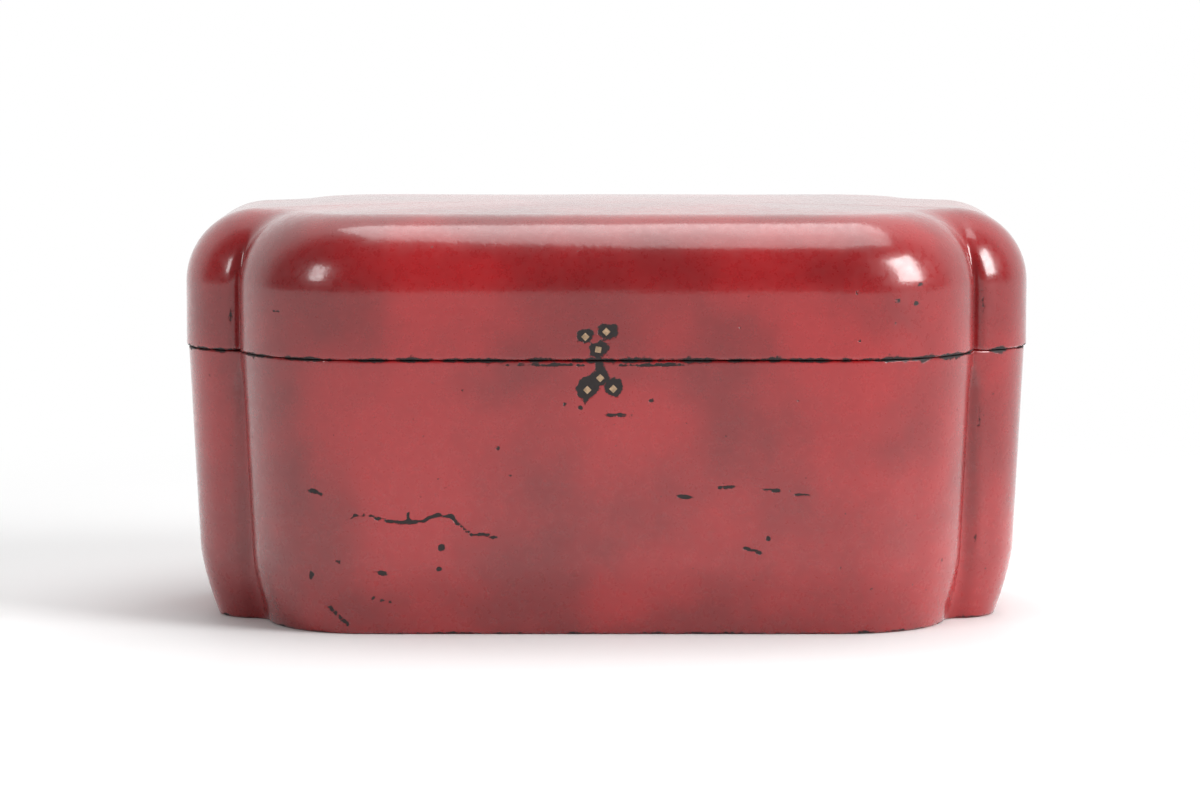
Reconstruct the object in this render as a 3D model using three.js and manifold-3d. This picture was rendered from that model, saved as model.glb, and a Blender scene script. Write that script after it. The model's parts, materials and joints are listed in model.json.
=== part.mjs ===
// A lobed lacquer box: a deep body and a lid hinged along its back, both of wood boards under lacquer.
// Millimetres, +Z up, front towards -Y, origin at the centre of the underside.
import * as THREE from "three";
import { mergeVertices } from "three/addons/utils/BufferGeometryUtils.js";
import Module from "manifold-3d";

const wasm = await Module();
wasm.setup();

// Plan of the lid at its widest
const halfLength = 200;
const halfDepth = 115;
const lobeRadius = 65; // rounded corners of the long front and back lobes
const lobeReach = 110; // half length of the straight front between those corners
const endRadius = 36; // rounded corners of the end lobes
const endReach = 31; // half width of the straight middle of an end

// Scooped groove in each notch between two lobes
const grooveHalfWidth = 3.3;
const grooveDepth = 3;
const leastGroove = 0.1; // share of the groove that is left where it fades out

// Heights and wall
const seamHeight = 129;
const seamGap = 0.3;
const lidSide = 30; // upright part of the lid's side
const shoulderRadius = 35;
const wallInset = 13.5; // inner face of the walls, measured in from the lid's widest outline
const baseThickness = 18;
const ceilingHeight = 47; // underside of the lid's top board above the lid's lower edge

// Body side: it leans in slightly and curls in at the foot
const lidProud = 1;
const bodyLean = 6.2;
const curlInset = 7.3;
const curlHeight = 34;
const curlPower = 1.6;
const lipBevel = 1;
const archDrop = 4; // the body's groove begins this far under the seam
const archLength = 14;

// Collar that stands up inside the mouth and guides the lid
const collarThickness = 3;
const collarClearance = 0.5;
const collarRise = 8;
const collarDrop = 16;

// Square pins left at the front, as [distance from the middle, height over the seam, turn in degrees]
const pinSize = 2.7;
const pinLength = 9;
const pinProud = 0.2;
const lidPins = [
  [-9.8, 10.9, 45],
  [-0.2, 13.2, 45],
  [-3.9, 5, 10],
];
const bodyPins = [
  [-3, -8.2, 45],
  [-8.9, -13.7, 45],
  [3, -13.2, 45],
];

// Hinges at the back
const hingeReach = 95;
const leafThickness = 1.2;
const lobeSize = 5;
const lobeSpread = 7;
const lobeDrop = 9;
const tipDrop = 16;
const knuckleRadius = 2.4;
const knuckleBore = 1.4;
const middleKnuckle = 5.8;
const knuckleSpan = 18;
const knuckleGap = 0.3;
const axisOffset = 2.8; // hinge axis behind the lid's back
const hingePinRadius = 1.2;
const hingePinHead = 2;
const nailSize = 1.4;
const nailLength = 8;
const nailHeadRadius = 1.8;
const nailHeadHeight = 0.9;

const fit = 0.3; // clearance between touching pieces
const jointGap = 0.3;
const lobeSteps = 6;
const endSteps = 5;
const roundSides = 16;

const rimHeight = seamHeight - seamGap / 2;
const lidBottom = seamHeight + seamGap / 2;
const axisY = halfDepth + axisOffset;
const lidHeight = lidSide + shoulderRadius;

const red = new THREE.MeshStandardMaterial({ color: 0x8c1016, roughness: 0.25, metalness: 0 });
const black = new THREE.MeshStandardMaterial({ color: 0x120c0a, roughness: 0.4, metalness: 0 });
const brass = new THREE.MeshStandardMaterial({ color: 0xb59060, roughness: 0.45, metalness: 0.9 });

const box = new THREE.Group();
const body = new THREE.Group();
const lid = new THREE.Group();
lid.position.z = lidBottom;
box.add(body, lid);

// Centres of the lobe corners, and the notch where their circles meet, in the front right quarter
const lobeCentre = new THREE.Vector2(lobeReach, lobeRadius - halfDepth);
const endCentre = new THREE.Vector2(halfLength - endRadius, -endReach);
const between = endCentre.clone().sub(lobeCentre);
const spacing = between.length();
between.normalize();
const along = (lobeRadius ** 2 - endRadius ** 2 + spacing ** 2) / (2 * spacing);
const across = Math.sqrt(lobeRadius ** 2 - along ** 2);
const notch = new THREE.Vector2(
  lobeCentre.x + along * between.x + across * between.y,
  lobeCentre.y + along * between.y - across * between.x,
);
const toLobe = lobeCentre.clone().sub(notch).normalize();
const toEnd = endCentre.clone().sub(notch).normalize();
const inward = toLobe.clone().add(toEnd).normalize();
const aside = new THREE.Vector2(-inward.y, inward.x);

function arcPoints(centre, radius, from, to, steps) {
  return Array.from({ length: steps + 1 }, (_, i) => {
    const angle = from + ((to - from) * i) / steps;
    return new THREE.Vector2(centre.x + radius * Math.cos(angle), centre.y + radius * Math.sin(angle));
  });
}

// The outline of one quarter, moved in by inset, as its front share and its end share.
// Both end on the line that runs in from the notch, half a joint gap apart.
function quarter(inset, groove) {
  const reach = grooveHalfWidth * groove;
  const lobeEnd = Math.atan2(-toLobe.y, -toLobe.x) - reach / lobeRadius;
  const endStart = Math.atan2(-toEnd.y, -toEnd.x) + reach / endRadius;
  const lobe = arcPoints(lobeCentre, lobeRadius - inset, -Math.PI / 2, lobeEnd, lobeSteps);
  const end = arcPoints(endCentre, endRadius - inset, endStart, 0, endSteps);
  const valley = notch.clone().addScaledVector(inward, inset + grooveDepth * groove);
  const first = lobe[lobeSteps];
  const last = end[0];
  const middle = first.clone().add(last).multiplyScalar(0.5);
  const curve = new THREE.QuadraticBezierCurve(first, valley.clone().multiplyScalar(2).sub(middle), last);
  const front = [...lobe, curve.getPoint(0.25), valley.clone().addScaledVector(aside, jointGap / 2)];
  const side = [valley.clone().addScaledVector(aside, -jointGap / 2), curve.getPoint(0.75), ...end];
  return { front, side };
}

const mirrored = (points, x, y) => points.map((p) => new THREE.Vector2(p.x * x, p.y * y));

// One wall's outline, anticlockwise from notch to notch
function wallOutline(which, inset, groove) {
  const { front, side } = quarter(inset, groove);
  const frontWall = [...mirrored(front, -1, 1).reverse(), ...front];
  const rightWall = [...side, ...mirrored(side, 1, -1).reverse()];
  return {
    front: frontWall,
    right: rightWall,
    back: mirrored(frontWall, -1, -1),
    left: mirrored(rightWall, -1, -1),
  }[which];
}

const sides = ["front", "right", "back", "left"];

const ringOutline = (inset, groove) => sides.flatMap((which) => wallOutline(which, inset, groove));

// A solid through stacked outlines of equal length. A wall's caps are strips, a board's are fans.
function loft(layers, cap) {
  const count = layers[0].outline.length;
  const positions = layers.flatMap(({ outline, z }) => outline.flatMap((p) => [p.x, p.y, z]));
  const triangles = [];
  for (let k = 0; k + 1 < layers.length; k++) {
    for (let i = 0; i < count; i++) {
      const next = (i + 1) % count;
      const [a, b] = [k * count + i, k * count + next];
      triangles.push(a, b, b + count, a, b + count, a + count);
    }
  }
  const top = (layers.length - 1) * count;
  if (cap === "strip") {
    for (let i = 0; i + 1 < count / 2; i++) {
      const [p, q, r, s] = [i, i + 1, count - 2 - i, count - 1 - i];
      triangles.push(top + p, top + q, top + r, top + p, top + r, top + s);
      triangles.push(p, r, q, p, s, r);
    }
  } else {
    const centre = positions.length / 3;
    positions.push(0, 0, layers[0].z, 0, 0, layers.at(-1).z);
    for (let i = 0; i < count; i++) {
      const next = (i + 1) % count;
      triangles.push(next, i, centre, top + i, top + next, centre + 1);
    }
  }
  const geometry = new THREE.BufferGeometry();
  geometry.setAttribute("position", new THREE.Float32BufferAttribute(positions, 3));
  geometry.setIndex(triangles);
  geometry.computeVertexNormals();
  return geometry;
}

function wall(which, profile, innerInset) {
  const layers = profile.map(({ z, inset, groove }) => ({
    z,
    outline: [...wallOutline(which, inset, groove), ...wallOutline(which, innerInset, 0).reverse()],
  }));
  return loft(layers, "strip");
}

const board = (profile) =>
  loft(
    profile.map(({ z, inset, groove }) => ({ z, outline: ringOutline(inset, groove) })),
    "fan",
  );

function toSolid(geometry) {
  const bare = geometry.clone();
  bare.deleteAttribute("normal");
  bare.deleteAttribute("uv");
  const merged = mergeVertices(bare, 1e-4);
  return new wasm.Manifold(
    new wasm.Mesh({
      numProp: 3,
      vertProperties: merged.attributes.position.array,
      triVerts: new Uint32Array(merged.index.array),
    }),
  );
}

// Joins the pieces, then cuts the holes out of them
function carve(pieces, holes) {
  let solid = toSolid(pieces[0]);
  for (const piece of pieces.slice(1)) solid = solid.add(toSolid(piece));
  for (const hole of holes) solid = solid.subtract(toSolid(hole));
  const mesh = solid.getMesh();
  const geometry = new THREE.BufferGeometry();
  geometry.setAttribute("position", new THREE.BufferAttribute(mesh.vertProperties, 3));
  geometry.setIndex(new THREE.BufferAttribute(mesh.triVerts, 1));
  geometry.computeVertexNormals();
  return geometry;
}

function place(group, name, geometry, material) {
  const mesh = new THREE.Mesh(geometry, material);
  mesh.name = name;
  group.add(mesh);
  return mesh;
}

// How far the body's side stands in from the lid's outline at a height
function bodyInset(z) {
  const curl = Math.max(0, (curlHeight - z) / curlHeight) ** curlPower;
  return lidProud + bodyLean * (1 - z / rimHeight) + curlInset * curl;
}

// The body's groove opens in a pointed arch under the seam and narrows again at the foot
function bodyGroove(z) {
  const arch = THREE.MathUtils.clamp((seamHeight - archDrop - z) / archLength, 0, 1);
  const foot = THREE.MathUtils.clamp(z / curlHeight, 0, 1);
  return Math.max(leastGroove, arch * (0.4 + 0.6 * foot));
}

const bodyLayer = (z) => ({ z, inset: bodyInset(z), groove: bodyGroove(z) });

// The lid's side and shoulder at a height over its lower edge; the groove fades out over the shoulder
function lidLayer(z) {
  const rise = Math.max(0, z - lidSide);
  const inset = shoulderRadius - Math.sqrt(Math.max(0, shoulderRadius ** 2 - rise ** 2));
  const groove = Math.max(leastGroove, 1 - rise / (shoulderRadius * 0.85));
  return { z, inset, groove };
}

const steps = (from, to, count) =>
  Array.from({ length: count + 1 }, (_, i) => from + ((to - from) * i) / count);

const bodyProfile = [
  ...[baseThickness, (baseThickness + curlHeight) / 2, curlHeight, seamHeight / 2].map(bodyLayer),
  ...steps(seamHeight - archDrop - archLength, seamHeight - archDrop, 2).map(bodyLayer),
  bodyLayer(rimHeight - lipBevel),
  { ...bodyLayer(rimHeight), inset: bodyInset(rimHeight) + lipBevel },
];
const baseProfile = steps(0, baseThickness, 3).map(bodyLayer);
const lidProfile = [
  { ...lidLayer(0), inset: lipBevel },
  lidLayer(lipBevel),
  ...steps(lidSide, ceilingHeight, 3).map(lidLayer),
];
const boardAngle = Math.asin((ceilingHeight - lidSide) / shoulderRadius);
const topProfile = steps(boardAngle, Math.PI / 2, 6).map((angle) =>
  lidLayer(lidSide + shoulderRadius * Math.sin(angle)),
);
topProfile[0] = lidLayer(ceilingHeight);
topProfile[topProfile.length - 1] = lidLayer(lidHeight);

// A square pin driven in from the front, and the hole that it sits in
function frontPin([x, z, turn], surfaceY, spare) {
  const length = pinLength + spare;
  return new THREE.BoxGeometry(pinSize + 2 * spare, length, pinSize + 2 * spare)
    .rotateY(THREE.MathUtils.degToRad(turn))
    .translate(x, surfaceY - pinProud + length / 2, z);
}

// The hinge nails' places on a leaf, from the hinge axis; up is 1 on the lid's leaf and -1 on the body's
const nailPlaces = (up) => [
  [-lobeSpread, up * lobeDrop],
  [lobeSpread, up * lobeDrop],
  [0, up * tipDrop],
];
const leafFace = { body: halfDepth - lidProud + fit, lid: halfDepth + fit };
const hinges = { left: -hingeReach, right: hingeReach };

function shankBox(x, y, z, length, spare) {
  const size = nailSize + 2 * spare;
  return new THREE.BoxGeometry(size, length, size).translate(x, y - length / 2, z);
}

// Holes in a back wall for the nails of both hinges, in the wall's own heights
function nailHoles(up, axisHeight, face) {
  return Object.values(hinges).flatMap((hingeX) =>
    nailPlaces(up).map(([x, z]) =>
      shankBox(hingeX + x, face + leafThickness, axisHeight + z, nailLength + 2 * fit, fit),
    ),
  );
}

const frontHoles = {
  body: bodyPins.map((pin) => {
    const z = seamHeight + pin[1];
    return frontPin([pin[0], z, pin[2]], bodyInset(z) - halfDepth, fit);
  }),
  lid: lidPins.map((pin) => {
    const z = seamHeight + pin[1] - lidBottom;
    return frontPin([pin[0], z, pin[2]], -halfDepth, fit);
  }),
};
const holesIn = {
  body: { front: frontHoles.body, back: nailHoles(-1, seamHeight, leafFace.body) },
  lid: { front: frontHoles.lid, back: nailHoles(1, seamHeight - lidBottom, leafFace.lid) },
};

// Walls, boards and collar
for (const which of sides) {
  const bodyWall = carve([wall(which, bodyProfile, wallInset)], holesIn.body[which] ?? []);
  place(body, `body_${which}_wall`, bodyWall, red);
  const lidWall = carve([wall(which, lidProfile, wallInset)], holesIn.lid[which] ?? []);
  place(lid, `lid_${which}_wall`, lidWall, red);
  const collarInset = wallInset + collarClearance;
  const collarProfile = [rimHeight - collarDrop, rimHeight + collarRise].map((z) => ({
    z,
    inset: collarInset,
    groove: 0,
  }));
  place(body, `collar_${which}`, wall(which, collarProfile, collarInset + collarThickness), black);
}
place(body, "base_board", board(baseProfile), red);
place(lid, "lid_top_board", board(topProfile), red);

// Front pins
bodyPins.forEach((pin, i) => {
  const z = seamHeight + pin[1];
  place(body, `body_front_pin_${i + 1}`, frontPin([pin[0], z, pin[2]], bodyInset(z) - halfDepth, 0), brass);
});
lidPins.forEach((pin, i) => {
  const z = seamHeight + pin[1] - lidBottom;
  place(lid, `lid_front_pin_${i + 1}`, frontPin([pin[0], z, pin[2]], -halfDepth, 0), brass);
});

const rod = (radius, length, x) =>
  new THREE.CylinderGeometry(radius, radius, length, roundSides).rotateZ(Math.PI / 2).translate(x, 0, 0);

// A leaf with three round lobes, modelled about the hinge axis, with the knuckles that it carries
function leaf(up, face, knuckles) {
  const innerY = face - axisY;
  const middleY = innerY + leafThickness / 2;
  const disc = (x, z) =>
    new THREE.CylinderGeometry(lobeSize, lobeSize, leafThickness, roundSides).translate(x, middleY, z);
  const clearRoot = knuckleRadius + 2 * fit;
  const rootHeight = lobeDrop - clearRoot;
  const root = new THREE.BoxGeometry(knuckleSpan, leafThickness, rootHeight).translate(
    0,
    middleY,
    up * (clearRoot + rootHeight / 2),
  );
  const pieces = [root, disc(0, up * lobeDrop), ...nailPlaces(up).map(([x, z]) => disc(x, z))];
  for (const [from, to] of knuckles) {
    const neckDepth = -knuckleBore - innerY + fit;
    const neckHeight = clearRoot + 2 * fit;
    const neck = new THREE.BoxGeometry(to - from, neckDepth, neckHeight);
    neck.translate((from + to) / 2, innerY + neckDepth / 2, up * (fit + neckHeight / 2));
    pieces.push(neck, rod(knuckleRadius, to - from, (from + to) / 2));
  }
  const holes = nailPlaces(up).map(([x, z]) =>
    shankBox(x, innerY + 2 * leafThickness, z, 3 * leafThickness, fit),
  );
  holes.push(rod(knuckleBore, 2 * knuckleSpan, 0));
  return carve(pieces, holes);
}

function nail(x, face, z) {
  const headY = face + leafThickness + fit - axisY;
  const shank = shankBox(x, headY + nailHeadHeight / 2, z, nailLength, 0);
  const head = new THREE.CylinderGeometry(nailHeadRadius * 0.6, nailHeadRadius, nailHeadHeight, 8);
  return carve([shank, head.translate(x, headY + nailHeadHeight / 2, z)], []);
}

// Two hinges with their pins and nails
const halfSpan = knuckleSpan / 2;
const halfMiddle = middleKnuckle / 2;
const outerKnuckles = [
  [-halfSpan, -halfMiddle - knuckleGap],
  [halfMiddle + knuckleGap, halfSpan],
];
for (const [side, x] of Object.entries(hinges)) {
  const onBody = new THREE.Group();
  onBody.position.set(x, axisY, seamHeight);
  body.add(onBody);
  const onLid = new THREE.Group();
  onLid.position.set(x, axisY, seamHeight - lidBottom);
  lid.add(onLid);
  place(onBody, `hinge_${side}_body_leaf`, leaf(-1, leafFace.body, outerKnuckles), brass);
  place(onLid, `hinge_${side}_lid_leaf`, leaf(1, leafFace.lid, [[-halfMiddle, halfMiddle]]), brass);
  const headAt = halfSpan + knuckleGap + hingePinRadius / 2;
  const pinPieces = [rod(hingePinRadius, 2 * headAt, 0)];
  pinPieces.push(rod(hingePinHead, hingePinRadius, -headAt), rod(hingePinHead, hingePinRadius, headAt));
  place(onBody, `hinge_${side}_pin`, carve(pinPieces, []), brass);
  nailPlaces(-1).forEach(([nx, nz], i) => {
    place(onBody, `hinge_${side}_body_nail_${i + 1}`, nail(nx, leafFace.body, nz), brass);
  });
  nailPlaces(1).forEach(([nx, nz], i) => {
    place(onLid, `hinge_${side}_lid_nail_${i + 1}`, nail(nx, leafFace.lid, nz), brass);
  });
}

export default box;
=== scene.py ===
"""A worn red lacquer box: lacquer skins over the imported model, on a white floor in soft light."""

import json
import math

import bpy
import numpy as np
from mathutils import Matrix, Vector, noise


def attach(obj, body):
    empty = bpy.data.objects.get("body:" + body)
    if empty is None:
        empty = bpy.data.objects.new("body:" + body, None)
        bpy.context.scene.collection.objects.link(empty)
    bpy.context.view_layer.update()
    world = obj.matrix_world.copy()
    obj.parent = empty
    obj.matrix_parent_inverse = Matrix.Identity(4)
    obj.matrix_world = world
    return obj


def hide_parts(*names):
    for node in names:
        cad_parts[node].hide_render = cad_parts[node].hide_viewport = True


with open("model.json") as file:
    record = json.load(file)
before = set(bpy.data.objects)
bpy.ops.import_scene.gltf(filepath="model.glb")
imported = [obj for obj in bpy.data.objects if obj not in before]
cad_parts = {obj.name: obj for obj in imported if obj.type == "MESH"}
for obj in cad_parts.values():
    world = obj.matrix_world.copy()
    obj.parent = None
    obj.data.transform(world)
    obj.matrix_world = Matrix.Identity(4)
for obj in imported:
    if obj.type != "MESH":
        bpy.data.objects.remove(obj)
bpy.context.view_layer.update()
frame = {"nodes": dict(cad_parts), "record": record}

MM = 0.001

# Plan of the lid at its widest, in millimetres
HALF_LENGTH = 200
HALF_DEPTH = 115
LOBE_RADIUS = 65
LOBE_REACH = 110
END_RADIUS = 36
END_REACH = 31
GROOVE_HALF_WIDTH = 3.3
GROOVE_DEPTH = 3
LEAST_GROOVE = 0.1

# Heights, wall and the body's side
SEAM = 129
SEAM_GAP = 0.3
RIM = SEAM - SEAM_GAP / 2
LID_BOTTOM = SEAM + SEAM_GAP / 2
LID_SIDE = 30
SHOULDER = 35
WALL_INSET = 13.5
FLOOR_HEIGHT = 18
CEILING = 47
LID_PROUD = 1
BODY_LEAN = 6.2
CURL_INSET = 7.3
CURL_HEIGHT = 34
CURL_POWER = 1.6
LIP_BEVEL = 1
ARCH_DROP = 4
ARCH_LENGTH = 14

# The skins' mesh and unevenness
FLAT_STEPS = 95
LOBE_STEPS = 40
VALLEY_STEPS = 12
END_STEPS = 24
TIP_STEPS = 14
LAYER = 1.25
CROWN = 2.2
LUMP = 0.28
LUMP_NOISES = [(14, 0.6), (38, 0.3), (110, 0.1)]  # rate in cycles per metre, and weight
SMOOTHING_PASSES = 2
FOOT_GROOVE = 0.4  # share of the body's groove that is left at the foot
GROOVE_FADE = 0.85  # share of the shoulder's radius over which the lid's groove fades
INNER_STRIDE = 3  # the plain inner faces take every third level
CAP_SCALES = np.linspace(0.02, 1, 12)  # rings that close the underside, the floor and the ceiling
TOP_SCALES = np.linspace(1, 0.02, 30)
SHOULDER_STEPS = 31
LIP_TURNS = (30, 60, 90)  # the rounded lip's rings, in degrees

# Wear on the edges, from 0 to 1, and how far it reaches from them in millimetres
EDGE_WEAR = 3.5
SIDE_WEAR = 0.75
INNER_LIP_WEAR = 0.4
ARRIS_WEAR = 0.8
WORN_GROOVE = 0.3  # share of the groove's depth from which its edges wear

# Where the photograph's front face lies in its 1200 by 800 frame
FRONT_CENTRE_PX = 606.5
FRONT_SEAM_PX = 358
FRONT_PX_PER_MM = 2.19

# Marks on the front as pixel ellipses: centre x, centre y, half width, half height, turn in degrees
CHIPS = [
    (311, 493, 7, 2.2, 20),
    (440, 549, 3.5, 3, 0),
    (437, 571, 3, 2.6, 0),
    (335, 564, 2.2, 2.2, 0),
    (307, 580, 2.4, 4, 0),
    (370, 601, 2, 2, 0),
    (379, 604, 1.8, 1.8, 0),
    (387, 605, 1.8, 1.8, 0),
    (378, 575, 6, 1.8, 10),
    (461, 389, 2, 2, 0),
    (497, 448, 2, 2.4, 0),
    (509, 474.5, 2, 2, 0),
    (686, 497, 7, 1.8, 8),
    (728, 487, 8, 1.6, -6),
    (773, 490, 7, 1.6, 5),
    (804, 495, 6, 1.5, 0),
    (769, 540, 2.4, 2.4, 0),
    (564.6, 402.5, 2.2, 2.2, 0),
    (580, 406, 2.2, 2.2, 0),
    (651, 398, 3, 2, 0),
    (618, 413.5, 11, 1.4, 0),
    (899, 299, 2.6, 2, 0),
    (918, 302, 2.4, 2, 0),
    (922, 283, 2.4, 2, 0),
    (857, 290, 2.2, 1.8, 0),
    (896, 321, 2.4, 1.8, 0),
    (860, 338, 2.2, 1.8, 0),
    (273, 310.5, 4, 1.8, 0),
    (551, 362.5, 39, 1.3, 0),
    (652, 362.5, 39, 1.3, 0),
]
PLATE_GHOSTS = [
    (599.7, 364, 4.5, 9, 0),
    (587, 386, 11, 10.5, 0),
    (613, 385, 10, 9.5, 0),
    (600, 376, 10, 8, 0),
    (586, 396, 4, 6, 15),
    (608, 329, 10, 7.5, 0),
    (585, 333, 8.5, 6.5, 0),
    (598, 347, 10, 7.5, 0),
]
CRACKS = [
    [(347, 519), (355, 515), (362, 516)],
    [(367, 516), (380, 520.5), (395, 523), (407, 522.6), (422, 521), (436, 515), (450, 516.6), (457, 525)],
    [(457, 525), (470, 536), (481, 535), (495, 539)],
    [(407, 522.6), (406, 514)],
    [(325, 611), (343, 630)],
    [(745, 549), (762, 554.5)],
]
CRACK_HALF_WIDTH = 1.5

# Marks lie only in front of this depth, and their distance is counted up to a limit, in millimetres
FRONT_LIMIT = -60
FAR_FROM_MARKS = 9.0

# The camera, in metres and degrees, set so that the box fills the frame as in the photograph
CAMERA_PLACE = (-0.0031, -2.11, 0.317)
CAMERA_PITCH = 5.9
LENS = 131.3
SENSOR_WIDTH = 36

# The floor and the world: sizes in metres, shades and strengths from 0 to 1
FLOOR_SIZE = 80
FLOOR_SHADE = 0.9
FADE_START = 0.32
FADE_STOP = 0.75
DIM = 0.16
BRIGHT = 0.95


def unit(v):
    return v / np.hypot(*v)


# The front lobe's arc and the end lobe's arc cross at the notch, which the corner groove rounds
lobe_centre = np.array([LOBE_REACH, LOBE_RADIUS - HALF_DEPTH], float)
end_centre = np.array([HALF_LENGTH - END_RADIUS, -END_REACH], float)
spacing = np.hypot(*(end_centre - lobe_centre))
between = unit(end_centre - lobe_centre)
along = (LOBE_RADIUS**2 - END_RADIUS**2 + spacing**2) / (2 * spacing)
across = math.sqrt(LOBE_RADIUS**2 - along**2)
notch = lobe_centre + along * between + across * np.array([between[1], -between[0]])
to_lobe = unit(lobe_centre - notch)
to_end = unit(end_centre - notch)
inward = unit(to_lobe + to_end)


def arc(centre, radius, start, stop, steps):
    angles = np.linspace(start, stop, steps + 1)
    return centre + radius * np.column_stack([np.cos(angles), np.sin(angles)])


def straight(a, b, steps):
    t = np.linspace(0, 1, steps + 1)[:, None]
    return (1 - t) * a + t * b


def ring(inset, groove):
    """The whole outline moved in by inset, anticlockwise, with its groove edges softened."""
    reach = GROOVE_HALF_WIDTH * groove
    lobe_stop = math.atan2(-to_lobe[1], -to_lobe[0]) - reach / LOBE_RADIUS
    end_start = math.atan2(-to_end[1], -to_end[0]) + reach / END_RADIUS
    lobe = arc(lobe_centre, LOBE_RADIUS - inset, -math.pi / 2, lobe_stop, LOBE_STEPS)
    end = arc(end_centre, END_RADIUS - inset, end_start, 0, END_STEPS)
    valley = notch + inward * (inset + GROOVE_DEPTH * groove)
    control = 2 * valley - (lobe[-1] + end[0]) / 2
    t = np.linspace(0, 1, VALLEY_STEPS + 1)[1:-1, None]
    curve = (1 - t) ** 2 * lobe[-1] + 2 * t * (1 - t) * control + t**2 * end[0]
    flat = straight(np.array([0, lobe[0][1]]), lobe[0], FLAT_STEPS)[:-1]
    tip = straight(end[-1], np.array([end[-1][0], 0]), TIP_STEPS)[1:]
    quarter = np.vstack([flat, lobe, curve, end, tip])
    back = (quarter[::-1] * [1, -1])[1:]
    half = np.vstack([quarter, back])
    whole = np.vstack([half, -half[1:-1]])
    for _ in range(SMOOTHING_PASSES):
        whole = (np.roll(whole, 1, 0) + 2 * whole + np.roll(whole, -1, 0)) / 4
    return whole


def body_inset(z):
    """How far the body's side lies inside the lid's outline: it leans in and curls at the foot."""
    curl = max(0, (CURL_HEIGHT - z) / CURL_HEIGHT) ** CURL_POWER
    return LID_PROUD + BODY_LEAN * (1 - z / RIM) + CURL_INSET * curl


def body_groove(z):
    """The body groove's share of its full depth, arched shut under the seam and shallow at the foot."""
    arch = min(1, max(0, (SEAM - ARCH_DROP - z) / ARCH_LENGTH))
    foot = min(1, max(0, z / CURL_HEIGHT))
    return max(LEAST_GROOVE, arch * (FOOT_GROOVE + (1 - FOOT_GROOVE) * foot))


def lid_inset(rise):
    """How far the round shoulder has moved in at a rise over the lid's bottom."""
    over = max(0, rise - LID_SIDE)
    return SHOULDER - math.sqrt(max(0, SHOULDER**2 - over**2))


def lid_groove(rise):
    return max(LEAST_GROOVE, 1 - max(0, rise - LID_SIDE) / (SHOULDER * GROOVE_FADE))


def levels(low, high):
    """Heights from low to high, about one layer apart."""
    return np.linspace(low, high, max(2, round(abs(high - low) / LAYER) + 1))


def outside(z, inset, groove, scale=1.0, edge=0.0):
    """One ring of a skin's red outer face."""
    return {"z": z, "inset": inset, "groove": groove, "scale": scale, "inside": 0.0, "edge": edge}


def within(z, inset, scale=1.0, edge=0.0):
    """One ring of a skin's black inner face, which has no groove."""
    return {"z": z, "inset": inset, "groove": 0.0, "scale": scale, "inside": 1.0, "edge": edge}


def nearness(distance):
    """1 on an edge, falling to 0 where its wear ends."""
    return max(0.0, 1 - abs(distance) / EDGE_WEAR)


def body_layers():
    """Up from under the base, over the lip, and down inside to the floor."""
    foot = body_inset(0)
    layers = [outside(0, foot + LIP_BEVEL, FOOT_GROOVE, s) for s in CAP_SCALES]
    for z in levels(LIP_BEVEL / 2, RIM - LIP_BEVEL):
        edge = max(nearness(z), SIDE_WEAR * nearness(RIM - LIP_BEVEL - z))
        layers.append(outside(z, body_inset(z), body_groove(z), edge=edge))
    for turn in LIP_TURNS:
        a = math.radians(turn)
        inset = body_inset(RIM) + LIP_BEVEL * (1 - math.cos(a))
        layers.append(outside(RIM - LIP_BEVEL * (1 - math.sin(a)), inset, LEAST_GROOVE, edge=1.0))
    layers.append(within(RIM, (body_inset(RIM) + WALL_INSET) / 2, edge=INNER_LIP_WEAR))
    layers += [within(z, WALL_INSET) for z in levels(RIM, FLOOR_HEIGHT)[::INNER_STRIDE]]
    layers += [within(FLOOR_HEIGHT, WALL_INSET, s) for s in CAP_SCALES[::-1]]
    return layers


def lid_layers():
    """Down inside from the ceiling, round the lip, and up over the shoulder to the crowned top."""
    top = LID_BOTTOM + LID_SIDE + SHOULDER
    layers = [within(LID_BOTTOM + CEILING, WALL_INSET, s) for s in CAP_SCALES]
    layers += [within(LID_BOTTOM + rise, WALL_INSET) for rise in levels(CEILING, 0)[::INNER_STRIDE]]
    layers.append(within(LID_BOTTOM, WALL_INSET / 2, edge=INNER_LIP_WEAR))
    for turn in LIP_TURNS:
        a = math.radians(turn - LIP_TURNS[0])
        inset = LIP_BEVEL * (1 - math.sin(a))
        layers.append(outside(LID_BOTTOM + LIP_BEVEL * (1 - math.cos(a)), inset, 1, edge=1.0))
    for rise in levels(LIP_BEVEL, LID_SIDE):
        layers.append(outside(LID_BOTTOM + rise, 0, 1, edge=SIDE_WEAR * nearness(rise - LIP_BEVEL)))
    for a in np.linspace(0, math.pi / 2, SHOULDER_STEPS + 1)[1:]:
        rise = LID_SIDE + SHOULDER * math.sin(a)
        layers.append(outside(LID_BOTTOM + rise, lid_inset(rise), lid_groove(rise)))
    for s in TOP_SCALES[1:]:
        crown = CROWN * (1 - s**2)
        layers.append(outside(top + crown, SHOULDER, LEAST_GROOVE, s))
    return layers


def lump(point):
    """The slow unevenness of a hand-laid lacquer coat, from -1 to 1."""
    p = Vector(point)
    return sum(weight * noise.noise(p * rate) for rate, weight in LUMP_NOISES)


def float_attribute(mesh, name, values):
    """Stores one number per vertex, which the lacquer's material reads by name."""
    attribute = mesh.attributes.new(name, "FLOAT", "POINT")
    attribute.data.foreach_set("value", np.asarray(values, np.float32))


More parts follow.
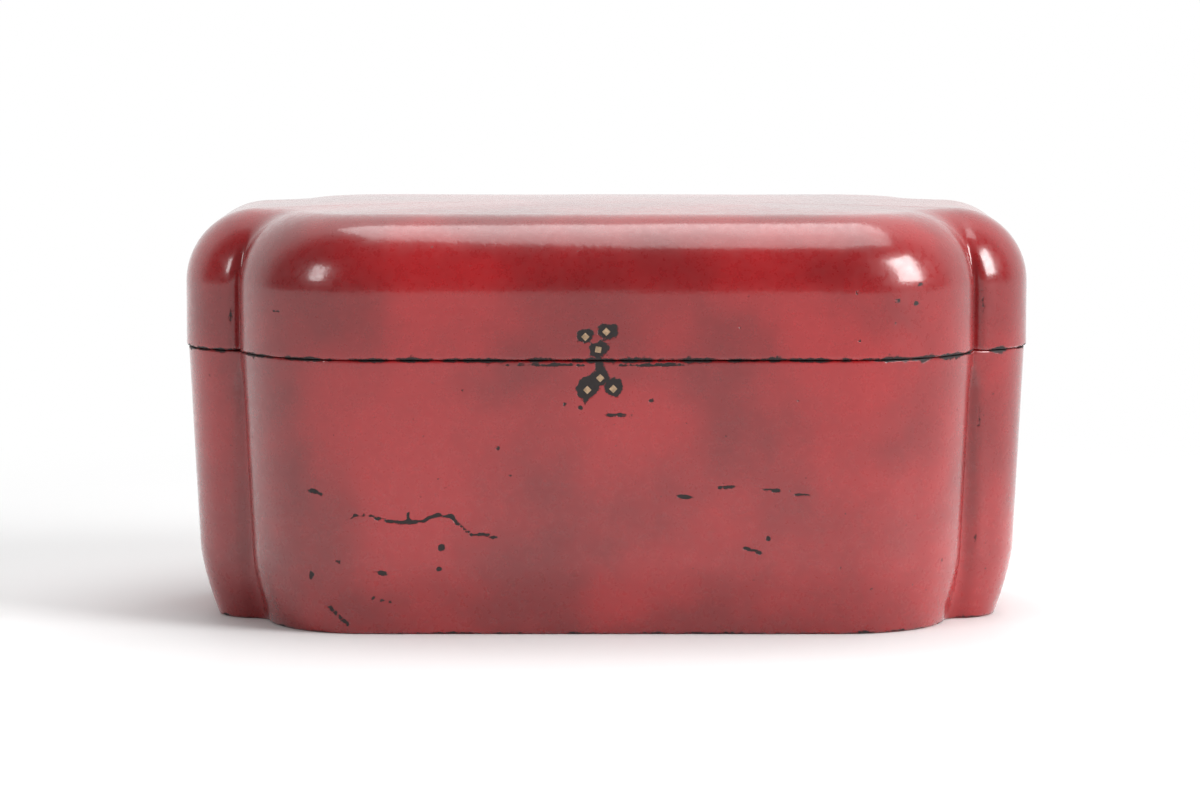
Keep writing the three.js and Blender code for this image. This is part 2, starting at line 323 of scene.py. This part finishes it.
def arris_stations():
    """How near each point of the outline is to an edge of a corner groove, from 0 to 1."""
    outline = ring(0, 1)
    edges = []
    for sx in (1, -1):
        for sy in (1, -1):
            for tangent in (np.array([to_lobe[1], -to_lobe[0]]), np.array([-to_end[1], to_end[0]])):
                edges.append((notch + tangent * GROOVE_HALF_WIDTH * np.sign(tangent[0])) * [sx, sy])
    distance = np.min([np.hypot(*(outline - e).T) for e in edges], axis=0)
    return np.clip(1 - distance / EDGE_WEAR, 0, 1)


def on_front(px, py):
    """A pixel of the photograph as millimetres along the front and over the floor."""
    x = (px - FRONT_CENTRE_PX) / FRONT_PX_PER_MM
    z = SEAM + (FRONT_SEAM_PX - py) / FRONT_PX_PER_MM
    return x, z


def blot_distance(x, z, blot):
    """How far points of the front lie from an ellipse's edge, less than nothing inside it."""
    px, py, half_width, half_height, turn = blot
    middle_x, middle_z = on_front(px, py)
    a = half_width / FRONT_PX_PER_MM
    b = half_height / FRONT_PX_PER_MM
    cos, sin = math.cos(math.radians(turn)), math.sin(math.radians(turn))
    u = (x - middle_x) * cos - (z - middle_z) * sin
    v = (x - middle_x) * sin + (z - middle_z) * cos
    return (np.hypot(u / a, v / b) - 1) * min(a, b)


def crack_distance(x, z, start, stop):
    """The same for a straight crack between two pixels."""
    x0, z0 = on_front(*start)
    x1, z1 = on_front(*stop)
    length = (x1 - x0) ** 2 + (z1 - z0) ** 2
    t = np.clip(((x - x0) * (x1 - x0) + (z - z0) * (z1 - z0)) / length, 0, 1)
    gap = np.hypot(x - x0 - t * (x1 - x0), z - z0 - t * (z1 - z0))
    return gap - CRACK_HALF_WIDTH / FRONT_PX_PER_MM


def chip_distances(x, z):
    found = [blot_distance(x, z, chip) for chip in CHIPS]
    for line in CRACKS:
        found += [crack_distance(x, z, a, b) for a, b in zip(line, line[1:])]
    return found


def ghost_distances(x, z):
    return [blot_distance(x, z, ghost) for ghost in PLATE_GHOSTS]


def mark_distance(points, inside, distances):
    """Each point's distance in millimetres to the nearest mark on the front."""
    x, y, z = points.T / MM
    nearest = np.minimum(np.min(distances(x, z), axis=0), FAR_FROM_MARKS)
    return np.where((y < FRONT_LIMIT) & (inside == 0), nearest, FAR_FROM_MARKS)


def loft(name, layers):
    """One closed mesh through the layers' rings, with its points in metres and the count in a ring."""
    rings = []
    for layer in layers:
        outline = ring(layer["inset"], layer["groove"]) * layer["scale"]
        rings.append(np.column_stack([outline, np.full(len(outline), layer["z"])]))
    count = len(rings[0])
    points = np.vstack(rings) * MM
    faces = []
    for k in range(len(rings) - 1):
        for i in range(count):
            j = (i + 1) % count
            faces.append((k * count + i, k * count + j, (k + 1) * count + j, (k + 1) * count + i))
    last = (len(rings) - 1) * count
    faces.append(tuple(reversed(range(count))))
    faces.append(tuple(range(last, last + count)))
    mesh = bpy.data.meshes.new(name)
    mesh.from_pydata(points.tolist(), [], faces)
    mesh.update()
    return mesh, points, count


def add_lumps(mesh, points, inside):
    """Moves the outer points along their normals, and none of them below the lowest."""
    normals = np.empty(points.size)
    mesh.vertices.foreach_get("normal", normals)
    lumps = np.array([0 if within_box else lump(p) for p, within_box in zip(points, inside)])
    shaped = points + normals.reshape(-1, 3) * (LUMP * MM * lumps)[:, None]
    shaped[:, 2] = np.maximum(shaped[:, 2], points[:, 2].min())
    mesh.vertices.foreach_set("co", shaped.ravel())
    mesh.update()


def skin(name, layers, body, nodes, material):
    """One lacquer skin through the layers, which stands for the nodes and rides on their body."""
    mesh, points, count = loft(name, layers)
    inside, edge, groove = (
        np.repeat([layer[key] for layer in layers], count) for key in ("inside", "edge", "groove")
    )
    groove *= 1 - inside
    arris = np.tile(arris_stations(), len(layers)) * np.where(groove > WORN_GROOVE, groove, 0)
    add_lumps(mesh, points, inside)
    float_attribute(mesh, "inside", inside)
    float_attribute(mesh, "edge", np.maximum(edge, ARRIS_WEAR * arris))
    float_attribute(mesh, "chip", mark_distance(points, inside, chip_distances))
    float_attribute(mesh, "ghost", mark_distance(points, inside, ghost_distances))
    mesh.shade_smooth()
    obj = bpy.data.objects.new(name, mesh)
    bpy.context.scene.collection.objects.link(obj)
    mesh.materials.append(material)
    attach(obj, body)
    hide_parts(*nodes)


def new_material(name):
    material = bpy.data.materials.new(name)
    material.use_nodes = True
    tree = material.node_tree
    return material, tree, tree.nodes["Principled BSDF"]


def add(tree, kind, inputs=(), **settings):
    """Adds a node; each input is a constant, or a socket to link from."""
    made = tree.nodes.new(kind)
    for key, value in settings.items():
        setattr(made, key, value)
    for key, value in dict(inputs).items():
        if isinstance(value, bpy.types.NodeSocket):
            tree.links.new(value, made.inputs[key])
        else:
            made.inputs[key].default_value = value
    return made


def maths(tree, operation, a, b=0.0, clamp=False):
    return add(tree, "ShaderNodeMath", {0: a, 1: b}, operation=operation, use_clamp=clamp).outputs[0]


def ramp(tree, value, low, high, to_low=0.0, to_high=1.0):
    inputs = {"Value": value, "From Min": low, "From Max": high, "To Min": to_low, "To Max": to_high}
    return add(tree, "ShaderNodeMapRange", inputs, interpolation_type="SMOOTHSTEP").outputs[0]


def mix_colour(tree, share, a, b):
    made = add(tree, "ShaderNodeMix", {0: share, 6: a, 7: b}, data_type="RGBA")
    return made.outputs[2]


def noise_value(tree, vector, scale, detail=2.0, roughness=0.5):
    inputs = {"Vector": vector, "Scale": scale, "Detail": detail, "Roughness": roughness}
    return add(tree, "ShaderNodeTexNoise", inputs).outputs[0]


def lacquer_material():
    """Glossy red lacquer, uneven and pitted, worn to the black coat under it; black inside the box."""
    material, tree, shader = new_material("red_lacquer")
    position = add(tree, "ShaderNodeTexCoord").outputs["Object"]
    inside = add(tree, "ShaderNodeAttribute", attribute_name="inside").outputs["Fac"]
    edge = add(tree, "ShaderNodeAttribute", attribute_name="edge").outputs["Fac"]
    broad = noise_value(tree, position, 16, 3)
    fine = noise_value(tree, position, 260, 4, 0.6)
    grain = noise_value(tree, position, 1100, 2)
    stroke_rates = (9, 9, 520)  # long across the box and thin in height, as the brush went
    stretch = add(tree, "ShaderNodeVectorMath", {0: position, 1: stroke_rates}, operation="MULTIPLY")
    strokes = noise_value(tree, stretch.outputs[0], 1, 3, 0.55)

    ragged = ramp(tree, fine, 0.3, 0.7, -0.4, 0.4)
    chip = add(tree, "ShaderNodeAttribute", attribute_name="chip").outputs["Fac"]
    ghost = add(tree, "ShaderNodeAttribute", attribute_name="ghost").outputs["Fac"]
    chip_mask = ramp(tree, maths(tree, "ADD", chip, ragged), 0.25, 0.0)
    ghost_mask = ramp(tree, maths(tree, "ADD", ghost, maths(tree, "MULTIPLY", ragged, 2)), 0.6, -0.1)

    patches = noise_value(tree, position, 85, 5, 0.65)
    edge_worn = ramp(tree, maths(tree, "ADD", maths(tree, "MULTIPLY", edge, 0.42), patches), 0.83, 0.92)
    pits = ramp(tree, noise_value(tree, position, 420, 2), 0.735, 0.77)
    clusters = ramp(tree, noise_value(tree, position, 9, 2), 0.45, 0.62)
    pit_mask = maths(tree, "MULTIPLY", pits, clusters)
    worn = maths(tree, "MAXIMUM", maths(tree, "MAXIMUM", chip_mask, ghost_mask), edge_worn)
    worn = maths(tree, "MAXIMUM", worn, maths(tree, "MULTIPLY", pit_mask, 0.85), clamp=True)

    deep = (0.20, 0.0035, 0.0055, 1)
    bright = (0.36, 0.008, 0.011, 1)
    under = (0.012, 0.007, 0.007, 1)
    within_black = (0.010, 0.007, 0.006, 1)
    red = mix_colour(tree, ramp(tree, broad, 0.3, 0.7), deep, bright)
    colour = mix_colour(tree, worn, red, under)
    colour = mix_colour(tree, inside, colour, within_black)
    tree.links.new(colour, shader.inputs["Base Color"])

    gloss = ramp(tree, fine, 0.3, 0.75, 0.24, 0.4)
    roughness = maths(tree, "ADD", gloss, maths(tree, "MULTIPLY", worn, 0.3))
    tree.links.new(roughness, shader.inputs["Roughness"])
    coat = ramp(tree, worn, 0.1, 0.6, 0.85, 0.05)
    tree.links.new(coat, shader.inputs["Coat Weight"])
    shader.inputs["Coat Roughness"].default_value = 0.11

    height = maths(tree, "MULTIPLY", strokes, 0.10)
    height = maths(tree, "ADD", height, maths(tree, "MULTIPLY", fine, 0.16))
    height = maths(tree, "ADD", height, maths(tree, "MULTIPLY", grain, 0.03))
    height = maths(tree, "ADD", height, maths(tree, "MULTIPLY", patches, 0.35))
    height = maths(tree, "SUBTRACT", height, maths(tree, "MULTIPLY", worn, 0.7))
    bump = add(tree, "ShaderNodeBump", {"Height": height, "Strength": 0.5, "Distance": 0.0006}).outputs[0]
    tree.links.new(bump, shader.inputs["Normal"])
    tree.links.new(bump, shader.inputs["Coat Normal"])
    return material


def plain_material(name, colour, metallic, low, high, scale, depth):
    """One colour with a speckle that dulls it, roughened between low and high."""
    material, tree, shader = new_material(name)
    position = add(tree, "ShaderNodeTexCoord").outputs["Object"]
    speckle = noise_value(tree, position, scale, 4, 0.6)
    dull = tuple(c * 0.6 for c in colour) + (1,)
    shade = mix_colour(tree, ramp(tree, speckle, 0.3, 0.7), dull, colour + (1,))
    tree.links.new(shade, shader.inputs["Base Color"])
    shader.inputs["Metallic"].default_value = metallic
    tree.links.new(ramp(tree, speckle, 0.3, 0.7, low, high), shader.inputs["Roughness"])
    bump = add(tree, "ShaderNodeBump", {"Height": speckle, "Strength": 0.4, "Distance": depth}).outputs[0]
    tree.links.new(bump, shader.inputs["Normal"])
    return material


def finish_nodes(black, brass):
    """Gives the CAD nodes that stay in view their finish, by their material slot in the record."""
    finishes = {"black_lacquer": black, "brass": brass}
    for part in frame["record"]["subparts"]:
        material = finishes.get(part["material_slot"])
        if material:
            mesh = frame["nodes"][part["node"]].data
            mesh.materials.clear()
            mesh.materials.append(material)


def make_floor():
    """A white floor that takes the box's shadow and turns to plain white further off."""
    bpy.ops.mesh.primitive_plane_add(size=FLOOR_SIZE)
    floor = bpy.context.object
    floor.name = "floor"
    material, tree, shader = new_material("floor_white")
    position = add(tree, "ShaderNodeTexCoord").outputs["Object"]
    far = add(tree, "ShaderNodeVectorMath", {0: position}, operation="LENGTH").outputs["Value"]
    shader.inputs["Base Color"].default_value = (FLOOR_SHADE, FLOOR_SHADE, FLOOR_SHADE, 1)
    shader.inputs["Roughness"].default_value = 0.6
    shader.inputs["Specular IOR Level"].default_value = 0.1
    glow = add(tree, "ShaderNodeEmission", {"Color": (1, 1, 1, 1), "Strength": 1.0}).outputs[0]
    share = ramp(tree, far, FADE_START, FADE_STOP)
    mixed = add(tree, "ShaderNodeMixShader", {0: share, 1: shader.outputs[0], 2: glow}).outputs[0]
    tree.links.new(mixed, tree.nodes["Material Output"].inputs[0])
    floor.data.materials.append(material)


def make_world():
    """White behind the box and to the camera, and dim on the camera's side, so that the front stays red."""
    world = bpy.data.worlds.new("studio")
    bpy.context.scene.world = world
    world.use_nodes = True
    tree = world.node_tree
    background = tree.nodes["Background"]
    background.inputs[0].default_value = (1, 1, 1, 1)
    direction = add(tree, "ShaderNodeTexCoord").outputs["Generated"]
    y = add(tree, "ShaderNodeSeparateXYZ", {0: direction}).outputs[1]
    behind = ramp(tree, y, -0.1, 0.35, DIM, BRIGHT)
    camera = add(tree, "ShaderNodeLightPath").outputs["Is Camera Ray"]
    strength = maths(tree, "MAXIMUM", behind, camera)
    tree.links.new(strength, background.inputs[1])


def area_light(name, place, target, width, height, power):
    """A rectangular lamp at a place, aimed at the target: metres and watts."""
    data = bpy.data.lights.new(name, "AREA")
    data.shape = "RECTANGLE"
    data.size = width
    data.size_y = height
    data.energy = power
    light = bpy.data.objects.new(name, data)
    light.location = place
    aim = Vector(target) - Vector(place)
    light.rotation_euler = aim.to_track_quat("-Z", "Y").to_euler()
    bpy.context.scene.collection.objects.link(light)


def make_camera():
    data = bpy.data.cameras.new("camera")
    data.sensor_width = SENSOR_WIDTH
    data.lens = LENS
    camera = bpy.data.objects.new("camera", data)
    camera.location = CAMERA_PLACE
    camera.rotation_euler = (math.radians(90 - CAMERA_PITCH), 0, 0)
    bpy.context.scene.collection.objects.link(camera)
    bpy.context.scene.camera = camera


def make_lights():
    middle = (0, 0, 0.1)
    area_light("key_right", (1.5, -0.9, 1.0), middle, 0.7, 1.1, 34)
    area_light("fill_left", (-1.3, -1.2, 0.9), middle, 0.4, 0.6, 6)
    area_light("overhead", (0.2, 0.1, 1.7), middle, 1.4, 1.0, 14)


scene = bpy.context.scene
scene.render.resolution_x = 1200
scene.render.resolution_y = 800
scene.view_settings.view_transform = "Standard"

make_camera()
lacquer = lacquer_material()
black_lacquer = plain_material("black_lacquer", (0.014, 0.010, 0.009), 0, 0.3, 0.5, 60, 0.0002)
aged_brass = plain_material("aged_brass", (0.62, 0.43, 0.27), 0.75, 0.3, 0.55, 500, 0.0002)
walls = ("front", "right", "back", "left")
skin("body_lacquer", body_layers(), "body", [f"body_{w}_wall" for w in walls] + ["base_board"], lacquer)
skin("lid_lacquer", lid_layers(), "lid", [f"lid_{w}_wall" for w in walls] + ["lid_top_board"], lacquer)
finish_nodes(black_lacquer, aged_brass)
make_floor()
make_world()
make_lights()
